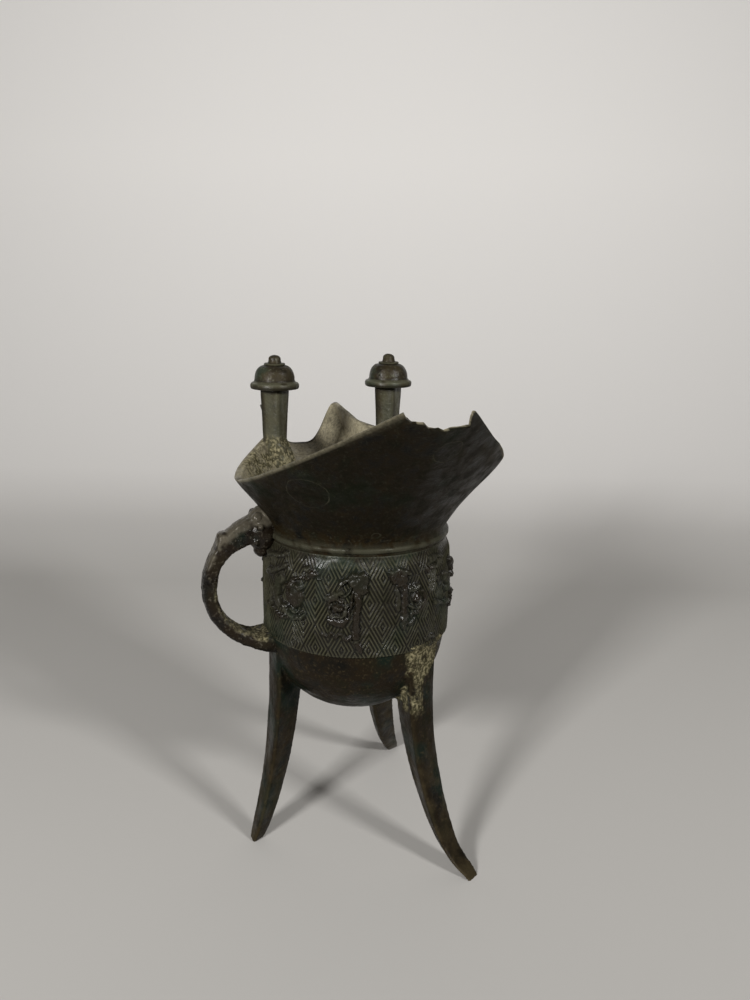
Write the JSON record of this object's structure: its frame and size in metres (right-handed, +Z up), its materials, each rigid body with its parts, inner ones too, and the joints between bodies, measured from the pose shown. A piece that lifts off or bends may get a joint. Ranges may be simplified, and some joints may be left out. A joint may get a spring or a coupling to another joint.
{
  "type": "bronze jue vessel",
  "caption": "Small cast bronze wine vessel on splayed legs, with a spout, a broken tail, capped posts on the rim, a strap handle with an animal head and a relief band.",
  "frame": {"origin": "on the floor under the middle of the vessel's outline", "axes": "+Z up, +X towards the spout, +Y towards the handle, the broken tail towards -X"},
  "size_m": [0.1436, 0.0946, 0.168],
  "materials": {
    "bronze": "dark brown and green patinated cast bronze"
  },
  "bodies": {
    "root": {"jue_vessel": "bronze"}
  },
  "joints": []
}
